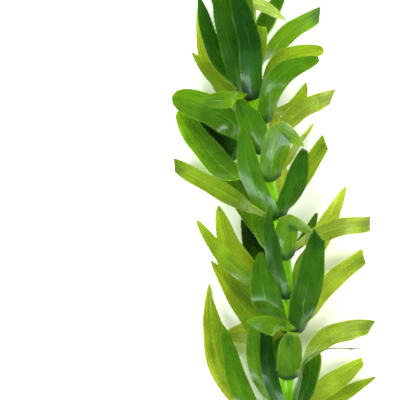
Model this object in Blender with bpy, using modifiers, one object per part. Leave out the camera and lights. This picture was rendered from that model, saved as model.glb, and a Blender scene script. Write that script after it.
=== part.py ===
"""A cut sprig of Brazilian waterweed, lying on a flat surface.

One stem runs along Y with its growing tip at +Y. The side that faces up is +Z. Leaves stand in whorls
around the stem. Each leaf follows a smooth curve from its node to its tip, turns from clasping the stem
to showing its face, and bends where it meets the surface. Lengths in the tables are in millimetres.
"""

import math

import bmesh
import bpy
from mathutils import Matrix, Vector
from mathutils.geometry import interpolate_bezier

MM = 0.001

STEM_RADIUS = 1.35
CUT_END = (4.3, -53.0, 4.6)
# Where each whorl sits on the stem's axis, from the cut end up.
WHORLS = (
    (4.6, -47.8, 5.7),
    (5.0, -42.6, 6.8),
    (5.4, -35.2, 8.0),
    (6.2, -26.2, 8.8),
    (5.6, -19.2, 9.0),
    (4.8, -11.4, 9.0),
    (3.2, -3.4, 9.0),
    (1.6, 4.2, 9.0),
    (0.8, 9.8, 9.0),
    (0.2, 15.8, 9.0),
    (-1.2, 20.6, 8.6),
    (-2.0, 25.4, 8.2),
    (-2.6, 29.8, 7.6),
    (-3.0, 33.8, 7.0),
)
# Where the crowded young whorls sit, up to the apex.
YOUNG_WHORLS = (
    (-3.4, 37.4, 6.0),
    (-3.7, 40.4, 5.2),
    (-3.9, 42.8, 4.7),
    (-4.0, 44.4, 4.4),
)
APEX = (-4.1, 46.0, 4.2)
# How far the stem runs from its last whorl towards the first young one, as a share of that gap.
STEM_END = 0.75
NODE_SWELL = 1.12
STEM_TAPER = 0.14
STEM_STEPS = 3
STEM_SIDES = 2

# Leaf sizes are lengths. The rest are shares of the leaf's length or width.
LEAF_THICK = 0.3
CLEARANCE = 0.3
SEAT_MOST = 0.55
WIDE_FROM = 0.22
CLASP = 0.35
CLASP_END = 0.3
KEEL = 0.1
TWIST_END = 0.5
TAPER_FROM = 0.5
TAPER_POWER = 2.3
BLUNT_POWER = 2.0
TIP_WIDTH = 0.06
CURVE_STEPS = 40
NEARLY = 1e-9
# The most room, in degrees, that one leaf takes up round the stem.
MOST_ROOM = 110.0
# Where the rows of points stand along a leaf, closer together towards its two ends.
ROWS = (0.0, 0.06, 0.15, 0.27, 0.4, 0.53, 0.66, 0.78, 0.88, 0.95, 1.0)

LEAF_GREEN = (0.07, 0.22, 0.02, 1.0)
STEM_GREEN = (0.2, 0.45, 0.03, 1.0)
TIP_GREEN = (0.1, 0.3, 0.03, 1.0)
WET_ROUGHNESS = 0.3

# Each leaf: its whorl and side, then around (degrees about the stem, 0 at +X and 90 at the top), lean
# (degrees from the stem's own direction where it starts), the places of its middle and its tip, its width,
# roll, and the share of its width that is left at its end.
LEAVES = (
    (1, "right", 328, 40, (14.6, -40.6, 3.6), (23.6, -35.7, 0.2), 2.8, 0, 0.0),
    (1, "left", 160, 45, (-3.4, -39.0, 7.0), (-7.3, -25.1, 4.2), 4.0, 0, 0.1),
    (1, "lower_left", 205, 52, (-5.6, -34.6, 2.8), (-9.9, -19.2, 2.2), 3.4, 0, 0.0),
    (1, "under_left", 225, 60, (-8.0, -34.6, 0.8), (-10.2, -16.8, 0.2), 3.6, 0, 0.1),
    (2, "right", 318, 42, (12.4, -38.2, 5.6), (20.6, -32.0, 1.5), 4.0, 0, 0.35),
    (2, "upper_right", 75, 17, (9.6, -31.4, 12.6), (20.0, -29.7, 11.0), 1.2, 60, 0.2),
    (2, "front_right", 29, 16, (9.4, -37.0, 7.6), (11.2, -30.4, 4.4), 4.0, 0, 0.3),
    (2, "front_left", 108, 14, (1.9, -35.0, 11.4), (0.9, -24.0, 9.9), 3.0, 0, 0.1),
    (2, "left", 162, 20, (-0.1, -34.0, 9.5), (-1.1, -24.2, 9.0), 2.2, 0, 0.1),
    (3, "front", 88, 18, (5.8, -30.6, 13.4), (6.4, -26.8, 16.0), 4.7, 0, 0.6),
    (3, "right", 2, 36, (13.0, -27.8, 8.0), (22.8, -25.2, 0.2), 4.2, 0, 0.5),
    (3, "left", 180, 35, (-2.0, -23.8, 5.4), (-9.8, -12.2, 3.2), 4.0, 0, 0.0),
    (3, "under", 280, 50, (3.2, -21.4, 0.5), (-1.6, -5.2, 0.5), 4.6, 0, 0.1),
    (4, "front", 112, 60, (2.0, -24.9, 15.4), (-2.8, -24.1, 15.6), 3.5, 0, 0.1),
    (4, "front_right", 46, 15, (9.4, -17.8, 12.6), (11.9, -7.4, 12.0), 5.6, 0, 0.3),
    (4, "right", 335, 32, (13.0, -17.8, 6.4), (20.9, -11.6, 1.0), 3.7, 0, 0.65),
    (4, "front_left", 152, 20, (0.9, -18.6, 12.4), (0.2, -10.4, 11.4), 5.2, 0, 0.1),
    (4, "left", 205, 40, (-3.2, -18.4, 6.2), (-8.8, -9.8, 4.8), 4.2, 0, 0.2),
    (4, "under_left", 245, 85, (-1.0, -26.8, 2.0), (-7.6, -27.2, 0.3), 4.8, 0, 0.0),
    (5, "right", 318, 22, (12.0, -8.2, 5.2), (17.4, 2.8, 3.0), 3.8, 0, 0.0),
    (5, "front_right", 22, 24, (8.2, -14.0, 10.0), (9.6, -9.6, 8.4), 3.0, 0, 0.0),
    (5, "front_left", 90, 14, (2.2, -8.6, 12.8), (1.6, -1.6, 13.4), 2.8, 0, 0.0),
    (5, "left", 215, 68, (-4.6, -11.8, 6.4), (-8.3, -1.2, 5.8), 4.8, 0, 0.0),
    (5, "far_left", 158, 60, (-5.8, -12.0, 9.8), (-12.6, -4.1, 7.6), 2.8, 0, 0.1),
    (6, "front", 80, 15, (5.5, -4.2, 15.2), (10.4, -6.5, 16.6), 4.2, 0, 0.1),
    (6, "right", 15, 30, (13.0, -6.4, 8.4), (22.0, -4.8, 0.4), 3.5, 0, 0.8),
    (6, "lower_right", 320, 25, (9.2, -7.4, 7.0), (11.4, -2.6, 7.0), 2.0, 0, 0.3),
    (6, "front_left", 172, 25, (0.4, -5.6, 7.6), (-2.2, 1.8, 5.8), 3.0, 0, 0.0),
    (6, "under_left", 238, 38, (-1.4, -2.2, 2.4), (-10.6, 8.2, 1.2), 4.8, 0, 0.0),
    (7, "front_right", 48, 15, (6.8, 3.4, 11.5), (8.8, 9.8, 10.2), 3.7, 0, 0.35),
    (7, "right", 330, 22, (7.6, 3.2, 7.4), (13.0, 11.8, 4.0), 3.4, 0, 0.5),
    (7, "front_left", 126, 18, (-2.5, 5.2, 13.0), (-3.8, 15.0, 13.2), 3.7, 0, 0.0),
    (7, "left", 165, 55, (-7.0, 1.4, 7.6), (-18.0, 8.0, 0.2), 3.3, 0, 0.0),
    (7, "under", 290, 40, (3.8, 7.6, 2.4), (2.6, 21.0, 4.2), 3.4, 0, 0.0),
    (8, "front", 70, 20, (4.4, 13.8, 15.6), (8.6, 10.8, 16.8), 5.0, 0, 0.1),
    (8, "right", 350, 15, (6.4, 9.6, 8.0), (10.8, 15.4, 7.5), 2.2, 65, 0.0),
    (8, "left", 192, 78, (-7.4, 6.6, 4.2), (-16.4, 18.0, 1.0), 5.0, 0, 0.0),
    (9, "front_left", 102, 12, (-1.2, 15.2, 12.2), (-4.0, 20.0, 10.8), 3.6, 0, 0.0),
    (9, "right", 10, 20, (7.2, 17.2, 9.0), (14.9, 21.2, 2.5), 3.7, 0, 0.35),
    (9, "left", 185, 48, (-6.8, 15.7, 6.8), (-17.6, 20.8, 4.0), 5.6, 0, 0.0),
    (9, "under", 238, 65, (-5.6, 10.4, 1.6), (-13.0, 15.0, 0.3), 4.4, 0, 0.0),
    (10, "front_right", 50, 12, (3.7, 24.3, 13.4), (11.7, 28.1, 11.4), 4.4, 0, 0.2),
    (10, "right", 335, 32, (6.8, 18.4, 6.0), (9.3, 23.6, 6.2), 3.0, 0, 0.0),
    (10, "left", 168, 45, (-7.2, 22.4, 7.8), (-13.7, 29.7, 3.6), 3.0, 0, 0.0),
    (10, "under_left", 236, 56, (-9.4, 26.4, 2.2), (-12.4, 39.8, 2.4), 4.8, 0, 0.0),
    (11, "front", 74, 26, (-2.0, 31.6, 13.0), (-5.8, 43.6, 12.2), 4.7, 0, 0.0),
    (11, "right", 2, 27, (4.4, 28.0, 9.0), (12.8, 30.0, 7.4), 3.4, 0, 0.2),
    (11, "front_left", 140, 72, (-5.8, 20.4, 15.2), (-11.8, 19.8, 14.6), 3.2, 0, 0.0),
    (11, "left", 186, 24, (-8.6, 28.6, 7.8), (-12.4, 41.2, 8.0), 2.4, 45, 0.0),
    (11, "upper_left", 128, 24, (-6.0, 30.8, 10.6), (-9.0, 43.0, 10.0), 4.0, 0, 0.0),
    (12, "right", 350, 35, (5.1, 32.8, 7.2), (12.0, 37.3, 1.5), 3.6, 0, 0.7),
    (12, "front_right", 62, 12, (0.6, 29.8, 10.2), (0.9, 34.6, 9.8), 2.8, 0, 0.5),
    (12, "left", 210, 25, (-5.4, 34.0, 3.8), (-10.6, 44.2, 3.6), 3.6, 0, 0.0),
    (13, "right", 350, 22, (1.0, 35.2, 7.2), (5.2, 42.6, 6.0), 3.6, 0, 0.0),
    (13, "front", 80, 14, (-2.8, 39.0, 10.8), (-4.2, 49.0, 10.0), 2.8, 0, 0.0),
    (13, "left", 190, 22, (-7.0, 37.6, 6.2), (-10.8, 46.6, 5.6), 3.4, 0, 0.0),
    (14, "front_right", 50, 10, (-1.5, 39.3, 9.0), (5.2, 36.0, 9.6), 2.2, 0, 0.0),
    (14, "front_left", 135, 14, (-5.6, 41.6, 9.0), (-7.6, 49.2, 8.2), 3.2, 0, 0.0),
)

# How softly the leaves that are folded over sharply bend at their middle. Any other leaf has 1.
CREASES = {(6, "front"): 0.25, (8, "front"): 0.25}

# The leaves of each young whorl: how many, how long, how wide and how far they lean out.
YOUNG_LEAVES = (
    (4, 10.5, 2.4, 15),
    (4, 9.0, 2.0, 12),
    (4, 7.0, 1.6, 10),
    (3, 5.0, 1.1, 8),
)
YOUNG_ROWS = (0.0, 0.2, 0.45, 0.7, 0.88, 1.0)
YOUNG_THICK = 0.26
# Each young whorl is turned this many degrees from the one below, so that its leaves stand in the gaps.
YOUNG_TURN = 45.0
YOUNG_BULGE = 0.6
YOUNG_SINK = 0.4
# How thick the apex's core is at each young whorl and at its end.
CORE_RADII = (1.2, 1.05, 0.85, 0.65, 0.3)
WELD = 0.01


def smooth(value):
    """Ease from 0 to 1 with level ends."""
    value = min(max(value, 0.0), 1.0)
    return value * value * (3.0 - 2.0 * value)


def axis_points():
    """Return the stem's axis from the cut end to the young whorls, as a smooth curve."""
    end = Vector(WHORLS[-1]).lerp(Vector(YOUNG_WHORLS[0]), STEM_END)
    knots = [Vector(CUT_END)] + [Vector(place) for place in WHORLS] + [end]
    points = []
    for index in range(len(knots) - 1):
        before = knots[max(index - 1, 0)]
        after = knots[min(index + 2, len(knots) - 1)]
        start, end = knots[index], knots[index + 1]
        handle_out = start + (end - before) / 6.0
        handle_in = end - (after - start) / 6.0
        points += interpolate_bezier(start, handle_out, handle_in, end, STEM_STEPS + 1)[:-1]
    return points + [knots[-1]]


def axis_direction(places, index):
    """Return the stem's direction at one of its whorls."""
    before = Vector(places[max(index - 1, 0)])
    after = Vector(places[min(index + 1, len(places) - 1)])
    return (after - before).normalized()


def outward(direction, around):
    """Return the direction out of the stem at an angle about it."""
    side = Vector((1.0, 0.0, 0.0))
    side = (side - direction * side.dot(direction)).normalized()
    top = side.cross(direction).normalized()
    angle = math.radians(around)
    return side * math.cos(angle) + top * math.sin(angle)


def blade_width(along, seat, end):
    """Return the blade's share of its full width, from its seat to its end."""
    widening = seat + (1.0 - seat) * smooth(along / WIDE_FROM)
    past = max(0.0, (along - TAPER_FROM) / (1.0 - TAPER_FROM))
    return widening * (1.0 - (1.0 - max(end, TIP_WIDTH)) * past ** (TAPER_POWER + BLUNT_POWER * end))


def room(around, others):
    """Return the angle that a leaf has to itself round the stem, between its whorl's other leaves."""
    gaps = [abs((other - around + 180.0) % 360.0 - 180.0) for other in others if other != around]
    return math.radians(min(gaps + [MOST_ROOM]))


class Blade:
    """The curve that one leaf follows, and the way that it faces."""

    def __init__(
        self, node, direction, around, lean, middle, tip, width, roll, end, out, seat_width, crease=1.0
    ):
        radial = outward(direction, around)
        lean = math.radians(lean)
        start = node + radial * out
        middle = Vector(middle)
        tip = Vector(tip)
        leaving = (direction * math.cos(lean) + radial * math.sin(lean)) * (middle - start).length
        passing = (tip - start) * (0.5 * crease)
        arriving = (tip - middle) * 1.5 - passing * 0.5
        lower = (start, start + leaving / 3.0, middle - passing / 3.0, middle)
        upper = (middle, middle + passing / 3.0, tip - arriving / 3.0, tip)
        points = interpolate_bezier(*lower, CURVE_STEPS)[:-1] + interpolate_bezier(*upper, CURVE_STEPS)
        self.lengths = [0.0]
        for before, after in zip(points, points[1:]):
            self.lengths.append(self.lengths[-1] + (after - before).length)
        self.points = points
        self.slopes = [(b - a).normalized() for a, b in zip(points, points[1:])]
        self.slopes.append(self.slopes[-1])
        self.width = width
        self.seat = min(SEAT_MOST, seat_width / width)
        self.end = end
        self.carried = self.carry(direction.cross(radial).normalized())
        self.turn = self.levelling() + math.radians(roll)

    def carry(self, across):
        """Carry the direction across the blade along the curve, turning it no more than the curve does."""
        carried = []
        for slope in self.slopes:
            across = (across - slope * across.dot(slope)).normalized()
            carried.append(across)
        return carried

    def levelling(self):
        """Return the turn that brings the blade's end level, so that it shows its face."""
        slope, across = self.slopes[-1], self.carried[-1]
        level = slope.cross(Vector((0.0, 0.0, 1.0))).normalized()
        level = level if level.dot(across) >= 0.0 else -level
        return math.atan2(across.cross(level).dot(slope), across.dot(level))

    def place(self, along, side):
        """Return a point on the blade, with side from -1 at one edge to 1 at the other."""
        wanted = along * self.lengths[-1]
        index = next(i for i, length in enumerate(self.lengths) if length >= wanted - NEARLY)
        index = max(index, 1)
        span = self.lengths[index] - self.lengths[index - 1]
        share = (wanted - self.lengths[index - 1]) / span
        middle = self.points[index - 1].lerp(self.points[index], share)
        slope = self.slopes[index - 1].lerp(self.slopes[index], share).normalized()
        across = self.carried[index - 1].lerp(self.carried[index], share).normalized()
        across = Matrix.Rotation(self.turn * smooth(along / TWIST_END), 3, slope) @ across
        normal = slope.cross(across)
        half = 0.5 * self.width * blade_width(along, self.seat, self.end)
        clasp = CLASP * (1.0 - smooth(along / CLASP_END)) + KEEL
        point = middle + across * (half * side) + normal * (clasp * half * side * side)
        point.z = max(point.z, 0.5 * LEAF_THICK)
        return point


def material(name, colour):
    """Return a wet plant material of one colour."""
    made = bpy.data.materials.new(name)
    made.use_nodes = True
    shader = made.node_tree.nodes["Principled BSDF"]
    shader.inputs["Base Color"].default_value = colour
    shader.inputs["Roughness"].default_value = WET_ROUGHNESS
    return made


def blade_mesh(name, blade, rows):
    """Lay a grid along a blade's curve, as an open sheet."""
    sheet = bmesh.new()
    bmesh.ops.create_grid(sheet, x_segments=2, y_segments=len(rows) - 1, size=1.0)
    for vertex in sheet.verts:
        row = round((vertex.co.y + 1.0) * 0.5 * (len(rows) - 1))
        vertex.co = blade.place(rows[row], vertex.co.x) * MM
    mesh = bpy.data.meshes.new(name)
    sheet.to_mesh(mesh)
    sheet.free()
    mesh.shade_smooth()
    return mesh


def add_object(name, data, finish, collection):
    """Put a mesh or a curve into the sprig with its material."""
    data.materials.append(finish)
    made = bpy.data.objects.new(name, data)
    collection.objects.link(made)
    return made


def thicken(made, thick):
    """Give an open sheet its thickness."""
    wall = made.modifiers.new("thickness", "SOLIDIFY")
    wall.thickness = thick * MM
    wall.offset = 0.0


def add_stem(collection, finish):
    """Build the stem as a round rod that swells a little at each whorl."""
    points = axis_points()
    curve = bpy.data.curves.new("stem", "CURVE")
    curve.dimensions = "3D"
    curve.bevel_depth = STEM_RADIUS * MM
    curve.bevel_resolution = STEM_SIDES
    curve.use_fill_caps = True
    spline = curve.splines.new("POLY")
    spline.points.add(len(points) - 1)
    for index, place in enumerate(points):
        at_whorl = index % STEM_STEPS == 0 and index > 0
        taper = 1.0 - STEM_TAPER * index / len(points)
        spline.points[index].co = (*(place * MM), 1.0)
        spline.points[index].radius = taper * (NODE_SWELL if at_whorl else 1.0)
    return add_object("stem", curve, finish, collection)


def add_leaves(collection, finish):
    """Build every full-grown leaf in its own node."""
    made = []
    out = STEM_RADIUS * NODE_SWELL + CLEARANCE + 0.5 * LEAF_THICK
    for whorl, side, around, lean, middle, tip, width, roll, end in LEAVES:
        node = Vector(WHORLS[whorl - 1])
        direction = axis_direction(WHORLS, whorl - 1)
        shared = [leaf[2] for leaf in LEAVES if leaf[0] == whorl]
        seat_width = out * room(around, shared) - CLEARANCE
        crease = CREASES.get((whorl, side), 1.0)
        blade = Blade(node, direction, around, lean, middle, tip, width, roll, end, out, seat_width, crease)
        name = f"leaf_{whorl:02d}_{side}"
        leaf = add_object(name, blade_mesh(name, blade, ROWS), finish, collection)
        thicken(leaf, LEAF_THICK)
        made.append(leaf)
    return made


def young_blade(whorl, index):
    """Return the blade of one young leaf, which stands up close to the tip."""
    count, length, width, lean = YOUNG_LEAVES[whorl]
    node = Vector(YOUNG_WHORLS[whorl])
    direction = axis_direction(YOUNG_WHORLS, whorl)
    around = 360.0 * (index + 0.5) / count + YOUNG_TURN * whorl
    out = outward(direction, around)
    spread = math.tan(math.radians(lean))
    bulge = length * YOUNG_BULGE * spread + CORE_RADII[whorl]
    middle = node + direction * (length * 0.5) + out * bulge
    tip = node + direction * length + out * (length * spread)
    seat = CORE_RADII[whorl] - YOUNG_SINK
    return Blade(node, direction, around, lean * 0.5, middle, tip, width, 0, 0.0, seat, width)


def add_growing_tip(collection, finish):
    """Build the apex, the core that the crowded young leaves grow from."""
    curve = bpy.data.curves.new("apex", "CURVE")
    curve.dimensions = "3D"
    curve.bevel_depth = MM
    curve.bevel_resolution = STEM_SIDES
    curve.use_fill_caps = True
    places = [Vector(place) for place in YOUNG_WHORLS] + [Vector(APEX)]
    stem_end = Vector(WHORLS[-1]).lerp(places[0], STEM_END)
    places[0] = stem_end + (places[0] - stem_end).normalized() * CLEARANCE
    spline = curve.splines.new("POLY")
    spline.points.add(len(places) - 1)
    for index, place in enumerate(places):
        spline.points[index].co = (*(place * MM), 1.0)
        spline.points[index].radius = CORE_RADII[index]
    guide = bpy.data.objects.new("apex", curve)
    collection.objects.link(guide)
    bpy.context.view_layer.update()
    mesh = bpy.data.meshes.new_from_object(guide.evaluated_get(bpy.context.evaluated_depsgraph_get()))
    bpy.data.objects.remove(guide)
    core = bmesh.new()
    core.from_mesh(mesh)
    bmesh.ops.remove_doubles(core, verts=core.verts, dist=WELD * MM)
    core.to_mesh(mesh)
    core.free()
    mesh.name = "growing_tip"
    mesh.materials.clear()
    return add_object("growing_tip", mesh, finish, collection)


def join_young_leaves(tip, collection, finish):
    """Join each young leaf to the apex, so that the growing tip is one body."""
    for whorl, (count, *_) in enumerate(YOUNG_LEAVES):
        for index in range(count):
            name = f"young_{whorl + 1}_{index + 1}"
            sheet = blade_mesh(name, young_blade(whorl, index), YOUNG_ROWS)
            leaf = add_object(name, sheet, finish, collection)
            thicken(leaf, YOUNG_THICK)
            leaf.hide_render = True
            leaf.display_type = "WIRE"
            join = tip.modifiers.new(f"join {name}", "BOOLEAN")
            join.operation = "UNION"
            join.object = leaf


def centring_shift(objects):
    """Return the sideways move that stands the sprig's box centred over the origin."""
    bpy.context.view_layer.update()
    graph = bpy.context.evaluated_depsgraph_get()
    corners = []
    for item in objects:
        evaluated = item.evaluated_get(graph)
        mesh = evaluated.to_mesh()
        corners += [vertex.co.copy() for vertex in mesh.vertices]
        evaluated.to_mesh_clear()
    across = [corner.x for corner in corners]
    lengthways = [corner.y for corner in corners]
    middle_x = 0.5 * (min(across) + max(across))
    middle_y = 0.5 * (min(lengthways) + max(lengthways))
    return Vector((-middle_x, -middle_y, 0.0))


def main():
    for item in list(bpy.data.objects):
        bpy.data.objects.remove(item)
    scene = bpy.context.scene
    sprig = bpy.data.collections.new("brazilian_waterweed")
    helpers = bpy.data.collections.new("helpers")
    scene.collection.children.link(sprig)
    scene.collection.children.link(helpers)

    stem = add_stem(sprig, material("stem", STEM_GREEN))
    leaves = add_leaves(sprig, material("leaf", LEAF_GREEN))
    tip_finish = material("growing_tip", TIP_GREEN)
    tip = add_growing_tip(sprig, tip_finish)
    join_young_leaves(tip, helpers, tip_finish)

    shift = centring_shift([stem, tip] + leaves)
    for item in [stem, tip] + leaves + list(helpers.objects):
        item.location = shift


main()
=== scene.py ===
"""A cut sprig of Brazilian waterweed lying on a pale board, seen from straight above.

Lengths are in millimetres until a mesh is made. The drawing's origin is on the board, beside the stem, with
the growing tip towards +Y. Each leaf is one thin blade that clasps the stem, twists to show its face and thins
out to a toothed margin.
"""

import sys
import logging
import math
import random
from bisect import bisect_left
from collections.abc import Sequence
from dataclasses import dataclass, field
from enum import Enum

import bmesh
import bpy
from bpy.types import Material, Mesh, Node, NodeSocket, NodeTree, Object
from mathutils import Matrix, Vector
from mathutils.geometry import interpolate_bezier


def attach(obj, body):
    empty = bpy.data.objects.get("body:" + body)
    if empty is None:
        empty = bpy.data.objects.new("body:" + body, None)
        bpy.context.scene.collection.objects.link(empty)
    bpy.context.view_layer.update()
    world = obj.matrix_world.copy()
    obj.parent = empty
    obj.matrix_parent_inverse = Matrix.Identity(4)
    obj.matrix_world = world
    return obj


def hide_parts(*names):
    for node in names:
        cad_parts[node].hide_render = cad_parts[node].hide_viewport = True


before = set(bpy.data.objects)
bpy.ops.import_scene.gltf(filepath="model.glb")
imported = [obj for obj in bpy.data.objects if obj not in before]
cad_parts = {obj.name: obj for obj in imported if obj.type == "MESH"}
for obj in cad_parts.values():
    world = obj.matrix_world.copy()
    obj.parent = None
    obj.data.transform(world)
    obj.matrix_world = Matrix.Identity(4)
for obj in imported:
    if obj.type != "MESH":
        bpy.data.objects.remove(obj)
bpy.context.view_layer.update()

log = logging.getLogger("waterweed")
Colour = tuple[float, float, float, float]
Place = tuple[float, float, float]

MM = 0.001
BODY = "root"
# Where the drawing's origin lies in the frame.
DRAWING_ORIGIN = Vector((-2.779, 1.673, 0.0))
UP = Vector((0.0, 0.0, 1.0))
# The share of light that the skin of a blade's face lets through.
SKIN_PASSES = 0.81
# A Map Range node turns the range from input 1 to 2 into that from 3 to 4. This range holds nearly all of a
# noise.
NOISE = {1: 0.3, 2: 0.7}

CUT_END = (4.3, -53.0, 4.6)
WHORLS = (
    (4.6, -47.8, 5.7), (5.0, -42.6, 6.8), (5.4, -35.2, 8.0), (6.2, -26.2, 8.8), (5.6, -19.2, 9.0),
    (4.8, -11.4, 9.0), (3.2, -3.4, 9.0), (1.6, 4.2, 9.0), (0.8, 9.8, 9.0), (0.2, 15.8, 9.0),
    (-1.2, 20.6, 8.6), (-2.0, 25.4, 8.2), (-2.6, 29.8, 7.6), (-3.0, 33.8, 7.0),
)
YOUNG_WHORLS = ((-3.4, 37.4, 6.0), (-3.7, 40.4, 5.2), (-3.9, 42.8, 4.7), (-4.0, 44.4, 4.4))
APEX = (-4.1, 46.0, 4.2)
STEM_RADIUS = 1.35
# How much thicker the stem is at a whorl.
WHORL_SWELL = 1.12
# How far the stem reaches from its last whorl towards the first young one, where the bud takes over.
STEM_END = 0.75


class Tint(Enum):
    """How deep a leaf's green is: partly the leaf's own colour, and partly painted shade, deeper for a leaf
    that lies behind, under or among others.
    """

    LIME = "leaf_blade_lime"
    FRESH = "leaf_blade_fresh"
    LEAFY = "leaf_blade_leafy"
    MID = "leaf_blade_mid"
    DEEP = "leaf_blade_deep"
    SHADED = "leaf_blade_shaded"
    EDGED = "leaf_blade_edged"
    OLIVE = "leaf_blade_olive"
    PALE = "leaf_blade_pale"
    YOUNG = "leaf_blade_young"


class End(Enum):
    """How a leaf ends."""

    POINTED = "pointed"
    ROUNDED = "rounded"
    FOLDED = "folded"
    TORN = "torn"


# How a blade narrows to its end: the power of the way past its widest part, and that of the width left over.
TAPERS: dict[End, tuple[float, float]] = {
    End.POINTED: (2.0, 0.85),
    End.ROUNDED: (2.6, 0.5),
    End.FOLDED: (2.3, 1.0),
}


def linear(hex_colour: str) -> Colour:
    """Turn an sRGB hex colour into linear light.

    Args:
        hex_colour: The colour as six hex digits after a hash.

    Returns:
        Red, green, blue and an alpha of 1.
    """
    values = [int(hex_colour[place:place + 2], 16) / 255.0 for place in (1, 3, 5)]
    lit = [v / 12.92 if v <= 0.04045 else ((v + 0.055) / 1.055) ** 2.4 for v in values]
    return (lit[0], lit[1], lit[2], 1.0)


def smooth(value: float) -> float:
    """Ease from 0 to 1 with level ends."""
    value = min(max(value, 0.0), 1.0)
    return value * value * (3.0 - 2.0 * value)


def add_node(tree: NodeTree, kind: str, links: dict | None = None, **settings: object) -> Node:
    """Add a node with its settings, and link or set its inputs.

    Args:
        tree: The node tree that it goes in.
        kind: The node's type name, without the ShaderNode that all of them begin with.
        links: For each input, by its name or number, the value that it holds, or the output that feeds it. A
            node feeds it from its first output.
        settings: Properties of the node itself.

    Returns:
        The new node.
    """
    node = tree.nodes.new("ShaderNode" + kind)
    for name, value in settings.items():
        setattr(node, name, value)
    for key, value in (links or {}).items():
        if isinstance(value, Node):
            value = value.outputs[0]
        if isinstance(value, NodeSocket):
            tree.links.new(value, node.inputs[key])
        else:
            node.inputs[key].default_value = value
    return node


def bare_material(name: str) -> Material:
    """Return a new material with no nodes in its tree.

    Args:
        name: What the material is called.

    Returns:
        The material.
    """
    material = bpy.data.materials.new(name)
    material.use_nodes = True
    material.node_tree.nodes.clear()
    return material


def lay_skin(tree: NodeTree, face: Node | NodeSocket, through: Node | NodeSocket, bump: Node,
             gloss: dict) -> None:
    """Add a wet skin to a body that light passes, and make them the surface.

    Args:
        tree: The node tree.
        face: The skin's colour.
        through: The colour of the light that the body passes.
        bump: The relief of both.
        gloss: The skin's roughness and coat.
    """
    wet = {"Base Color": face, "IOR": 1.42, "Normal": bump, **gloss}
    skin = add_node(tree, "BsdfPrincipled", wet)
    body = add_node(tree, "BsdfTranslucent", {0: through, 1: bump})
    both = add_node(tree, "AddShader", {0: skin, 1: body})
    add_node(tree, "OutputMaterial", {0: both})


def deselect_all() -> None:
    """Leave object mode with nothing selected."""
    if bpy.context.object and bpy.context.object.mode != "OBJECT":
        bpy.ops.object.mode_set(mode="OBJECT")
    bpy.ops.object.select_all(action="DESELECT")


def apply_modifier(piece: Object, kind: str, **settings: object) -> None:
    """Add a modifier to a piece and apply it.

    Args:
        piece: The piece.
        kind: The modifier's type name.
        settings: The modifier's properties.
    """
    modifier = piece.modifiers.new(kind.lower(), kind)
    for name, value in settings.items():
        setattr(modifier, name, value)
    bpy.context.view_layer.objects.active = piece
    bpy.ops.object.modifier_apply(modifier=modifier.name)


def shade_smooth(piece: Object, sharpest: float) -> None:
    """Shade a piece smooth.

    Args:
        piece: The piece.
        sharpest: The turn in degrees past which an edge stays sharp.
    """
    deselect_all()
    piece.select_set(True)
    bpy.context.view_layer.objects.active = piece
    bpy.ops.object.shade_smooth_by_angle(angle=math.radians(sharpest))


def raise_rod(sides: int, rings: int, fill: str) -> Object:
    """Raise a circle ring by ring, one unit apart, into a rod whose rings are put in place afterwards.

    Args:
        sides: How many sides the rod has.
        rings: How many rings it has.
        fill: How the circle that it starts from is filled.

    Returns:
        The rod, in object mode.
    """
    deselect_all()
    bpy.ops.mesh.primitive_circle_add(vertices=sides, radius=1.0, fill_type=fill)
    piece = bpy.context.object
    bpy.ops.object.mode_set(mode="EDIT")
    for _ in range(rings - 1):
        bpy.ops.mesh.extrude_region_move(TRANSFORM_OT_translate={"value": (0.0, 0.0, 1.0)})
    bpy.ops.object.mode_set(mode="OBJECT")
    return piece


def heading(places: Sequence, index: int) -> Vector:
    """Return the direction of a line of places at one of them.

    Args:
        places: The places, in order.
        index: Which of them.

    Returns:
        The direction, one unit long.
    """
    before = Vector(places[max(index - 1, 0)])
    after = Vector(places[min(index + 1, len(places) - 1)])
    return (after - before).normalized()


def outward(direction: Vector, around: float) -> Vector:
    """Return the direction out of the stem at an angle about it.

    Args:
        direction: The stem's direction there.
        around: The angle in degrees, 0 at +X and 90 at the top.

    Returns:
        The direction, one unit long.
    """
    side = Vector((1.0, 0.0, 0.0))
    side = (side - direction * side.dot(direction)).normalized()
    top = side.cross(direction).normalized()
    angle = math.radians(around)
    return side * math.cos(angle) + top * math.sin(angle)


def on_ring(points: list[Vector], ring: int, around: float, radius: float) -> Vector:
    """Return a place on one of a rod's rings.

    Args:
        points: The rings' centres, in the drawing.
        ring: Which ring.
        around: The angle in degrees about the rod.
        radius: The ring's radius.

    Returns:
        The place in the frame, in metres.
    """
    return (points[ring] + outward(heading(points, ring), around) * radius + DRAWING_ORIGIN) * MM


def hand_over(piece: Object, node: str) -> None:
    """Let a finished piece stand for its CAD node, and report it.

    Args:
        piece: The finished piece.
        node: The CAD node that it replaces.
    """
    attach(piece, BODY)
    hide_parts(node)
    log.info("%s: %d faces", piece.name, len(piece.data.polygons))


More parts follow.
